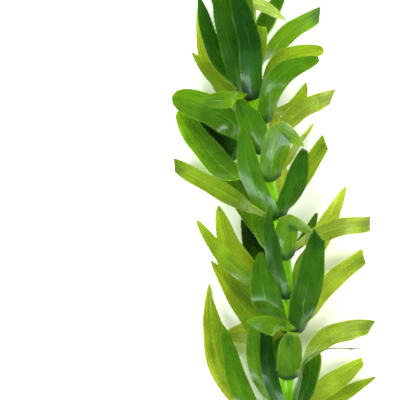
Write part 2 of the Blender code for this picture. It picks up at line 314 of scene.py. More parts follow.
@dataclass(frozen=True)
class LeafTissue:
    """Living waterweed leaf, two layers of cells under a wet cuticle.

    So thin a leaf glows when light comes through it and is a dark, glossy green where light only falls on it.
    Depth is 1 for a thin blade, and clear is the light that passes both faces of such a one. A greater depth
    is painted shade, standing for the leaves behind and over a blade. Painted base light is how much more
    passes just above the cup at the base, painted light where the leaf stands free of those behind, and rib
    how much less at the midrib. Face is the skin's colour.
    Streak and specks are how strongly the fine veins and the brown specks show. Lengths are in millimetres.
    """

    depth: float
    face: str = "#1A420C"
    clear: str = "#C2D64A"
    specks: float = 0.0
    speck_brown: str = "#5A3A12"
    speck_gap: float = 1.6
    gloss: float = 0.27
    dullness: float = 0.3
    rib: float = 0.12
    rib_shine: float = 0.8
    face_share: float = 0.7
    streak: float = 0.22
    painted_base_light: float = 0.0
    margin_from: float = 0.46
    margin_glow: float = 0.3
    margin_depth: float = 0.6
    margin_face: str = "#4C7A1E"
    relief: float = 0.1

    def passed(self, depth: float) -> Colour:
        """Return the light that passes one face of a blade of some depth: each layer takes the same share."""
        red, green, blue = (SKIN_PASSES * value ** (0.5 * depth) for value in linear(self.clear)[:3])
        return (red, green, blue, 1.0)

    def draw_lines(self, tree: NodeTree, across: NodeSocket) -> tuple[Node, ...]:
        """Draw the midrib and the margins.

        Args:
            tree: The node tree.
            across: The place across the blade, from 0 at one edge to 1 at the other.

        Returns:
            How far a place is on the midrib, and on a clear margin.
        """
        # The midrib is 0.25 mm wide on a blade of 4 mm, and each margin is a thin, clear line one cell deep.
        off_centre = add_node(tree, "Math", {0: across, 1: 0.5}, operation="SUBTRACT")
        off_centre = add_node(tree, "Math", {0: off_centre}, operation="ABSOLUTE")
        rib = add_node(tree, "MapRange", {0: off_centre, 1: 0.008, 2: 0.04, 3: 1.0, 4: 0.0})
        margin = {0: off_centre, 1: self.margin_from, 2: 0.5, 3: 0.0, 4: self.margin_glow}
        return rib, add_node(tree, "MapRange", margin)

    def draw_tone(self, tree: NodeTree, streaks: Node, patches: Node, place: NodeSocket) -> Node:
        """Draw how much of each colour a place holds.

        Args:
            tree: The node tree.
            streaks: The noise of the fine veins.
            patches: The noise of the older and younger patches.
            place: The place in the frame.

        Returns:
            The tone, about 1.
        """
        # Leaf cells are about 0.1 mm, too fine to show from here, so the mottling is drawn at 0.35 mm.
        cells = add_node(tree, "TexVoronoi", {0: place, 2: 1.0 / (0.35 * MM)})
        streaked = {0: streaks, **NOISE, 3: 1.0 - self.streak, 4: 1.0 + self.streak}
        tone = add_node(tree, "MapRange", streaked)
        mottle = add_node(tree, "MapRange", {0: cells, 1: 0.0, 2: 0.7, 3: 1.08, 4: 0.86})
        patch = add_node(tree, "MapRange", {0: patches, **NOISE, 3: 0.86, 4: 1.1})
        tone = add_node(tree, "Math", {0: tone, 1: mottle}, operation="MULTIPLY")
        return add_node(tree, "Math", {0: tone, 1: patch}, operation="MULTIPLY")

    def draw_shade(self, tree: NodeTree, along: NodeSocket, tone: Node, rib: Node) -> Node:
        """Draw how much light the body passes.

        Args:
            tree: The node tree.
            along: The place along the blade, from 0 at its base to 1 at its end.
            tone: The tone there.
            rib: How far the place is on the midrib.

        Returns:
            The share of the colour that passes.
        """
        # The rim of the cup at the base is painted darker: painted shade under the cup and from the stem
        # behind it, where the blade is also thick and folded about the stem. Just above it a leaf stands free
        # of those behind, and painted light makes it glow most there.
        base = add_node(tree, "MapRange", {0: along, 1: 0.0, 2: 0.06, 3: 0.45, 4: 1.0 + self.painted_base_light})
        rest = add_node(tree, "MapRange", {0: along, 1: 0.14, 2: 0.55, 3: 0.0, 4: -self.painted_base_light})
        base = add_node(tree, "Math", {0: base, 1: rest}, operation="ADD")
        shade = add_node(tree, "Math", {0: tone, 1: base}, operation="MULTIPLY")
        # A vein holds more green than the blade beside it.
        ribbed = add_node(tree, "Math", {0: rib, 1: -self.rib, 2: 1.0}, operation="MULTIPLY_ADD")
        return add_node(tree, "Math", {0: shade, 1: ribbed}, operation="MULTIPLY")

    def build(self, name: str) -> Material:
        """Make the material.

        Args:
            name: What the material is called.

        Returns:
            A glossy face added to a tinted see-through body, patterned in the blade's own coordinates.
        """
        material = bare_material(name)
        tree = material.node_tree
        blade = add_node(tree, "UVMap", uv_map="blade")
        place = add_node(tree, "TexCoord").outputs["Object"]
        across, along, _ = add_node(tree, "SeparateXYZ", {0: blade}).outputs
        # Fine veins run lengthwise, about 0.3 mm apart, and fade in and out along the blade.
        stretched = add_node(tree, "Mapping", {0: blade, 3: (14.0, 1.6, 1.0)})
        streaks = add_node(tree, "TexNoise", {0: stretched, 2: 1.0, 3: 3.0, 4: 0.6})
        # Older and younger patches of a blade differ over about 5 mm.
        patches = add_node(tree, "TexNoise", {0: place, 2: 1.0 / (5.0 * MM), 3: 2.0})
        rib, margin = self.draw_lines(tree, across)
        tone = self.draw_tone(tree, streaks, patches, place)
        shade = self.draw_shade(tree, along, tone, rib)
        # Painted sheen: the face is painted lighter along the midrib, by rib_shine, as if the raised rib
        # caught the light.
        raised = add_node(tree, "Math", {0: rib, 1: self.rib_shine, 2: self.face_share},
                          operation="MULTIPLY_ADD")
        raised = add_node(tree, "Math", {0: raised, 1: tone}, operation="MULTIPLY")

        # The body and the face each have a main colour, the colour of their margin, and a share of both.
        through = (self.passed(self.depth), self.passed(self.margin_depth), shade)
        face = (linear(self.face), linear(self.margin_face), raised)
        colours = []
        for inner, outer, share in (through, face):
            edged = add_node(tree, "Mix", {0: margin, 6: inner, 7: outer}, data_type="RGBA")
            toned = add_node(tree, "VectorMath", {0: edged.outputs[2], 3: share}, operation="SCALE")
            colours.append(toned.outputs[0])
        if self.specks:
            spots = add_node(tree, "TexVoronoi", {0: place, 2: 1.0 / (self.speck_gap * MM)})
            spot = add_node(tree, "MapRange", {0: spots, 1: 0.05, 2: 0.12, 3: 1.0, 4: 0.0})
            spot = add_node(tree, "Math", {0: spot, 1: self.specks}, operation="MULTIPLY")
            brown = {0: spot, 7: linear(self.speck_brown)}
            colours = [add_node(tree, "Mix", {**brown, 6: colour}, data_type="RGBA").outputs[2]
                       for colour in colours]

        relief = add_node(tree, "Math", {0: rib, 1: 0.8, 2: streaks}, operation="MULTIPLY_ADD")
        bump = add_node(tree, "Bump", {0: 0.6, 1: self.relief * MM, 3: relief})
        wet = {0: patches, **NOISE, 3: self.gloss - 0.05, 4: self.gloss + 0.07}
        wet = add_node(tree, "MapRange", wet)
        # The cup at the base, where the skin is creased, is duller.
        dull = add_node(tree, "MapRange", {0: along, 1: 0.02, 2: 0.14, 3: self.dullness, 4: 0.0})
        wet = add_node(tree, "Math", {0: wet, 1: dull}, operation="ADD")
        gloss = {"Roughness": wet, "Coat Weight": 0.12, "Coat Roughness": 0.08}
        lay_skin(tree, colours[1], colours[0], bump, gloss)
        return material


@dataclass(frozen=True)
class StemTissue:
    """Juicy waterweed stem, full of air channels, so that it glows all through and shows faint ridges."""

    name: str = "stem_rind"
    through: str = "#C6EE3A"
    face: str = "#24480C"

    def build(self) -> Material:
        """Make the material.

        Returns:
            A glossy rind over a glowing body, with ridges and patches.
        """
        material = bare_material(self.name)
        tree = material.node_tree
        place = add_node(tree, "TexCoord").outputs["Object"]
        rod = add_node(tree, "UVMap", uv_map="rod")
        # Ridges run along the stem, 16 round it, about 0.5 mm apart.
        ridged = add_node(tree, "Mapping", {0: rod, 3: (16.0, 0.25, 1.0)})
        ridges = add_node(tree, "TexNoise", {0: ridged, 2: 1.0, 3: 2.0})
        # Patches of more and less green are about 3 mm across.
        patches = add_node(tree, "TexNoise", {0: place, 2: 1.0 / (3.0 * MM), 3: 3.0})
        tone = add_node(tree, "MapRange", {0: ridges, **NOISE, 3: 0.75, 4: 1.15})
        patch = add_node(tree, "MapRange", {0: patches, **NOISE, 3: 0.85, 4: 1.1})
        tone = add_node(tree, "Math", {0: tone, 1: patch}, operation="MULTIPLY")
        through, face = (
            add_node(tree, "VectorMath", {0: linear(colour)[:3], 3: tone}, operation="SCALE")
            for colour in (self.through, self.face)
        )
        bump = add_node(tree, "Bump", {0: 0.6, 1: 0.08 * MM, 3: ridges})
        lay_skin(tree, face, through, bump, {"Roughness": 0.28, "Coat Weight": 0.3, "Coat Roughness": 0.1})
        return material


@dataclass(frozen=True)
class PaleBoard:
    """Matt white board, so even that it gives the eye nothing but light."""

    name: str = "matt_white_board"
    colour: str = "#F4F5F3"

    def build(self) -> Material:
        """Make the material.

        Returns:
            A matt skin with a faint tooth 0.5 mm across.
        """
        material = bare_material(self.name)
        tree = material.node_tree
        place = add_node(tree, "TexCoord").outputs["Object"]
        tooth = add_node(tree, "TexNoise", {0: place, 2: 1.0 / (0.5 * MM), 3: 2.0})
        bump = add_node(tree, "Bump", {0: 0.1, 1: 0.02 * MM, 3: tooth})
        matt = {"Base Color": linear(self.colour), "Roughness": 0.85, "Normal": bump}
        skin = add_node(tree, "BsdfPrincipled", matt)
        add_node(tree, "OutputMaterial", {0: skin})
        return material


# The deeper tints, from mid to shaded and edged, are painted shade: their greater depth and darker face stand
# for the leaves behind and over a blade and the shade among them.
TISSUES: dict[Tint, LeafTissue] = {
    Tint.LIME: LeafTissue(1.15, "#2C500E", "#CCCE4A"),
    Tint.FRESH: LeafTissue(1.7, "#244A0E", "#C6CE4A"),
    Tint.LEAFY: LeafTissue(2.4, "#1E460C", painted_base_light=0.1),
    Tint.MID: LeafTissue(3.0, "#18400A", specks=0.5, painted_base_light=0.15),
    Tint.DEEP: LeafTissue(4.3, "#113408", painted_base_light=0.3),
    Tint.SHADED: LeafTissue(6.4, "#0C2C08", painted_base_light=0.8),
    Tint.EDGED: LeafTissue(4.6, "#113408", margin_from=0.4, margin_glow=0.85),
    Tint.OLIVE: LeafTissue(1.7, "#324C0E", "#C2D04C", specks=0.6),
    Tint.PALE: LeafTissue(0.9, "#4A6C20", "#D2D26C"),
    Tint.YOUNG: LeafTissue(1.8, "#244C10"),
}


@dataclass
class StemAxis:
    """The line that the stem follows from its cut end to the young whorls."""

    knots: list[Vector] = field(init=False)

    def __post_init__(self) -> None:
        """Set the knots from the whorls' places."""
        last = Vector(WHORLS[-1]).lerp(Vector(YOUNG_WHORLS[0]), STEM_END)
        self.knots = [Vector(CUT_END)] + [Vector(place) for place in WHORLS] + [last]

    def points(self, steps: int) -> list[Vector]:
        """Return a smooth curve through the knots.

        Args:
            steps: How many parts each stretch between two knots has.

        Returns:
            The curve's points, in millimetres.
        """
        points: list[Vector] = []
        for index in range(len(self.knots) - 1):
            before = self.knots[max(index - 1, 0)]
            after = self.knots[min(index + 2, len(self.knots) - 1)]
            start, end = self.knots[index], self.knots[index + 1]
            leaving, arriving = start + (end - before) / 6.0, end - (after - start) / 6.0
            points += interpolate_bezier(start, leaving, arriving, end, steps + 1)[:-1]
        return points + [self.knots[-1]]


@dataclass
class Section:
    """One section across a blade."""

    centre: Vector
    slope: Vector
    across: Vector
    half: float
    hollow: Vector
    along: float

    @property
    def normal(self) -> Vector:
        """Return the direction out of the blade's face."""
        return self.slope.cross(self.across)


@dataclass
class BladeCurve:
    """The curve that one leaf follows, and the way that it faces.

    Out is how far its base is from the stem's axis, and seat_width how wide the base may be. A crease below 1
    folds the blade over at its middle. All that is counted along the blade is a share of its length: the blade
    is at its widest from wide_from to taper_from, clasps the stem up to clasp_end and faces up from twist_end.
    """

    node: Vector
    direction: Vector
    around: float
    lean: float
    middle: Vector
    tip: Vector
    width: float
    out: float
    seat_width: float
    roll: float = 0.0
    end: float = 0.0
    crease: float = 1.0
    taper_from: float = 0.5
    ending: End = End.POINTED
    curve_steps: int = 40
    seat_most: float = 0.95
    wide_from: float = 0.09
    clasp: float = 0.28
    clasp_end: float = 0.22
    keel: float = 0.1
    twist_end: float = 0.5
    # The cup in which the blade grows out of the stem.
    cup_narrow: float = 0.12
    cup_hollow: float = 0.25
    # The end of a torn blade.
    thread: float = 0.16
    thread_from: float = 0.74
    tear: float = 0.24
    shred: float = 0.7
    shred_at: float = 0.92
    shred_reach: float = 0.03
    # All below is worked out from the fields above.
    radial: Vector = field(init=False)
    points: list[Vector] = field(init=False)
    lengths: list[float] = field(init=False)
    slopes: list[Vector] = field(init=False)
    carried: list[Vector] = field(init=False)
    turn: float = field(init=False)

    def __post_init__(self) -> None:
        """Work out the curve, the way across the blade all along it, and the turn that levels its face."""
        self.radial = outward(self.direction, self.around)
        lean = math.radians(self.lean)
        start = self.node + self.radial * self.out
        leaving = self.direction * math.cos(lean) + self.radial * math.sin(lean)
        leaving = leaving * (self.middle - start).length
        passing = (self.tip - start) * (0.5 * self.crease)
        arriving = (self.tip - self.middle) * 1.5 - passing * 0.5
        lower = (start, start + leaving / 3.0, self.middle - passing / 3.0, self.middle)
        upper = (self.middle, self.middle + passing / 3.0, self.tip - arriving / 3.0, self.tip)
        steps = self.curve_steps
        self.points = interpolate_bezier(*lower, steps)[:-1] + interpolate_bezier(*upper, steps)
        self.lengths = [0.0]
        for before, after in zip(self.points, self.points[1:]):
            self.lengths.append(self.lengths[-1] + (after - before).length)
        self.slopes = [(after - before).normalized() for before, after in zip(self.points, self.points[1:])]
        self.slopes.append(self.slopes[-1])
        self.carried = []
        across = self.direction.cross(self.radial).normalized()
        for slope in self.slopes:
            across = (across - slope * across.dot(slope)).normalized()
            self.carried.append(across)
        slope = self.slopes[-1]
        level = slope.cross(UP).normalized()
        level = level if level.dot(across) >= 0.0 else -level
        self.turn = math.atan2(across.cross(level).dot(slope), across.dot(level)) + math.radians(self.roll)

    @property
    def length(self) -> float:
        """Return the blade's length along its midrib."""
        return self.lengths[-1]

    def width_at(self, along: float) -> float:
        """Return the blade's share of its full width.

        Args:
            along: Where, from 0 at its base to 1 at its end.

        Returns:
            The share of the full width.
        """
        seat = min(self.seat_most, self.seat_width / self.width)
        widening = seat + (1.0 - seat) * smooth(along / self.wide_from)
        if self.ending is End.TORN:
            # All that is left of a torn blade's end is a thread with a shred hanging on it.
            shred = self.shred * max(0.0, 1.0 - abs(along - self.shred_at) / self.shred_reach)
            whole = 1.0 - smooth((along - self.thread_from + self.tear) / self.tear)
            return widening * (self.thread + shred + (1.0 - self.thread) * whole)
        past = max(0.0, (along - self.taper_from) / (1.0 - self.taper_from))
        past_power, left_power = TAPERS[self.ending]
        left = (1.0 - past ** past_power) ** left_power
        return widening * (self.end + (1.0 - self.end) * left)

    def section(self, along: float) -> Section:
        """Return the blade's section at one place.

        Args:
            along: Where, from 0 at its base to 1 at its end.

        Returns:
            The section, turned about the midrib and hollowed where it clasps the stem.
        """
        wanted = along * self.length
        index = min(max(bisect_left(self.lengths, wanted - 1e-9), 1), len(self.lengths) - 1)
        share = (wanted - self.lengths[index - 1]) / (self.lengths[index] - self.lengths[index - 1])
        centre = self.points[index - 1].lerp(self.points[index], share)
        slope = self.slopes[index - 1].lerp(self.slopes[index], share).normalized()
        across = self.carried[index - 1].lerp(self.carried[index], share).normalized()
        across = Matrix.Rotation(self.turn * smooth(along / self.twist_end), 3, slope) @ across
        clasp = self.clasp * (1.0 - smooth(along / self.clasp_end)) + self.keel
        half = 0.5 * self.width * self.width_at(along)
        return Section(centre, slope, across, half, slope.cross(across) * (clasp * half), along)

    def heel(self, steps: int, depth: float, drop: float) -> list[Section]:
        """Return the sections of the rounded cup in which the blade grows out of the stem.

        Args:
            steps: How many sections.
            depth: How far the cup stands out from where it is joined.
            drop: How far below the blade it is joined.

        Returns:
            The sections, from the stem outwards.
        """
        first = self.section(0.0)
        made = []
        for step in range(steps):
            angle = 0.5 * math.pi * (1.0 - step / steps)
            sine, cosine = math.sin(angle), math.cos(angle)
            back = self.radial * (depth * (1.0 - cosine)) + first.slope * (drop * sine)
            slope = (self.radial * (depth * sine) + first.slope * (drop * cosine)).normalized()
            half = first.half * (1.0 - self.cup_narrow + self.cup_narrow * cosine)
            hollow = first.hollow * (half / first.half) + first.slope * (self.cup_hollow * half * sine)
            made.append(Section(first.centre - back, slope, first.across, half, hollow, 0.0))
        return made


@dataclass
class BladeSheet:
    """A blade laid along its curve as a thin closed sheet, thick at its midrib and toothed at its margins."""

    curve: BladeCurve
    name: str
    seed: int
    ending: End = End.POINTED
    rows: int = 54
    columns: tuple[float, ...] = (-1.0, -0.9, -0.68, -0.42, -0.18, -0.06, 0.06, 0.18, 0.42, 0.68, 0.9, 1.0)
    thick: float = 0.2
    thin: float = 0.4
    # How high over the board the middle of the sheet stays.
    lowest: float = 0.06
    # The real teeth are too fine to show, so these are drawn larger.
    tooth: float = 0.09
    teeth_from: float = 0.1
    # The waves of the margins, and how unevenly wide the blade is.
    wave: float = 0.12
    wave_length: float = 7.0
    wave_from: float = 0.3
    bob: float = 0.3
    uneven: float = 0.05
    # The cup at the base.
    heel_steps: int = 4
    heel_depth: float = 0.7
    heel_drop: float = 0.7
    # The fold of a folded end, and the flap under it.
    lift_from: float = 0.72
    fold_radius: float = 0.3
    fold_steps: int = 5
    fold_narrow: float = 0.97
    fold_hollow: float = 0.3
    flap_length: float = 3.4
    flap_steps: int = 7
    flap_power: float = 1.6
    flap_drop: float = 0.25
    flap_point: float = 0.04
    flap_gap: float = 0.06
    corner: float = 0.16
    corner_from: float = 0.7
    slant: float = 0.2

    def sections(self) -> list[Section]:
        """Return the blade's sections.

        Returns:
            The sections from the stem outwards, with the flap of a folded end.
        """
        made = self.curve.heel(self.heel_steps, self.heel_depth, self.heel_drop)
        made += [self.curve.section(row / (self.rows - 1)) for row in range(self.rows)]
        if self.ending is End.FOLDED:
            self.lift_end(made)
            made += self.flap(made[-1])
        return made

    def lift_end(self, made: list[Section]) -> None:
        """Lift the end of a blade that lies on the board, so that its flap fits under it.

        Args:
            made: The blade's sections.
        """
        need = max(0.0, 2.0 * self.fold_radius + self.lowest + self.flap_gap - made[-1].centre.z)
        for section in made:
            raised = smooth((section.along - self.lift_from) / (1.0 - self.lift_from))
            section.centre = section.centre + UP * need * raised

    def flap(self, last: Section) -> list[Section]:
        """Return the sections that fold a blade's end under it.

        Args:
            last: The section that the fold starts from.

        Returns:
            The sections round the fold and back along the flap.
        """
        under = last.normal if last.normal.z < 0.0 else -last.normal
        made = []
        for step in range(1, self.fold_steps + 1):
            angle = math.pi * step / self.fold_steps
            bend = last.slope * math.sin(angle) + under * (1.0 - math.cos(angle))
            slope = last.slope * math.cos(angle) + under * math.sin(angle)
            made.append(Section(last.centre + bend * self.fold_radius, slope, last.across,
                                last.half * self.fold_narrow, last.hollow * self.fold_hollow, 1.0))
        hinge = made[-1]
        for step in range(1, self.flap_steps + 1):
            share = step / self.flap_steps
            drop = under * (self.flap_drop * self.fold_radius * share)
            place = hinge.centre - last.slope * (self.flap_length * share) + drop
            half = hinge.half * max(self.flap_point, 1.0 - share ** self.flap_power)
            made.append(Section(place, -last.slope, last.across, half, Vector((0.0, 0.0, 0.0)), 1.0))
        return made

    def build(self) -> Object:
        """Make the blade's object.

        Returns:
            The blade, with its coordinates in the map named blade.
        """
        chance = random.Random(self.seed)
        phases = [chance.uniform(0.0, 2.0 * math.pi) for _ in range(3)]
        sections = self.sections()
        last_column, last_row = len(self.columns) - 1, len(sections) - 1
        deselect_all()
        bpy.ops.mesh.primitive_grid_add(x_subdivisions=last_column, y_subdivisions=last_row, size=2.0,
                                        calc_uvs=False)
        piece = bpy.context.object
        piece.name = piece.data.name = self.name
        mesh = piece.data
        spots: list[tuple[float, int]] = []
        for vertex in mesh.vertices:
            column = round((vertex.co.x + 1.0) * 0.5 * last_column)
            spots.append((self.columns[column], round((vertex.co.y + 1.0) * 0.5 * last_row)))
        uv = mesh.uv_layers.new(name="blade")
        for loop in mesh.loops:
            side, row = spots[loop.vertex_index]
            uv.data[loop.index].uv = (0.5 + 0.5 * side, sections[row].along)
        thickness = piece.vertex_groups.new(name="thickness")
        for vertex, (side, row) in zip(mesh.vertices, spots):
            vertex.co = self.place(sections[row], side, row, phases) * MM
            # The midrib has the sheet's full thickness, and the blade thins out from it to its margins.
            share = 1.0 if abs(side) < 0.1 else 0.8 - 0.6 * abs(side)
            thickness.add([vertex.index], share, "REPLACE")
        apply_modifier(piece, "SOLIDIFY", thickness=self.thick * MM, offset=0.0, vertex_group="thickness",
                       thickness_vertex_group=self.thin)
        shade_smooth(piece, 60.0)
        return piece

    def end_slope(self, section: Section) -> Vector:
        """Return the way on towards the blade's end, also on the flap that turns back under it."""
        return section.slope if section.along < 1.0 else self.curve.slopes[-1]

    def place(self, section: Section, side: float, row: int, phases: list[float]) -> Vector:
        """Return a point of the sheet, in the frame.

        Args:
            section: The section that the point is on.
            side: From -1 at one edge to 1 at the other.
            row: The section's number, which sets the teeth.
            phases: Where the waves of each edge and of the whole blade begin.

        Returns:
            The point, in millimetres.
        """
        turns = 2.0 * math.pi * section.along * self.curve.length / self.wave_length
        half = section.half * (1.0 + self.uneven * math.sin(0.7 * turns + phases[1 if side < 0.0 else 0]))
        if abs(side) == 1.0 and row % 2 and self.teeth_from < section.along < 1.0:
            half += self.tooth * min(1.0, half)
        reach = 0.0
        if self.ending is End.FOLDED and section.along > self.corner_from:
            # A folded end is a little hollow, and the corner nearer the growing tip reaches further.
            forward = side if section.across.y > 0.0 else -side
            reach = section.half * (self.corner * side * side + self.slant * forward)
            reach *= smooth((section.along - self.corner_from) / (1.0 - self.corner_from))
        # The edges wave by themselves, and the whole blade bobs a little.
        ripple = math.sin(turns + phases[0 if side < 0.0 else 1]) * abs(side) ** 1.5
        ripple += self.bob * math.sin(0.6 * turns + phases[2])
        free = smooth(section.along / self.wave_from) * (1.0 if section.along < 1.0 else 0.3)
        point = section.centre + section.across * (half * side) + section.hollow * (side * side)
        point = point + section.normal * (self.wave * free * ripple) + self.end_slope(section) * reach
        point = point + DRAWING_ORIGIN
        point.z = max(point.z, self.lowest)
        return point


@dataclass(frozen=True)
class Leaf:
    """Where one full-grown leaf grows and reaches, and how it looks.

    Around and lean are in degrees: around turns about the stem from +X over the top, and lean is measured from
    the stem's own direction. Middle and tip are places in the drawing. End is the share of the width left at
    the tip, crease is low where the blade folds over at its middle, and taper is where it begins to narrow.
    """

    whorl: int
    side: str
    around: float
    lean: float
    middle: Place
    tip: Place
    width: float
    tint: Tint
    end: float = 0.0
    ending: End = End.POINTED
    roll: float = 0.0
    slant: float = 0.2
    crease: float = 1.0
    taper: float = 0.5
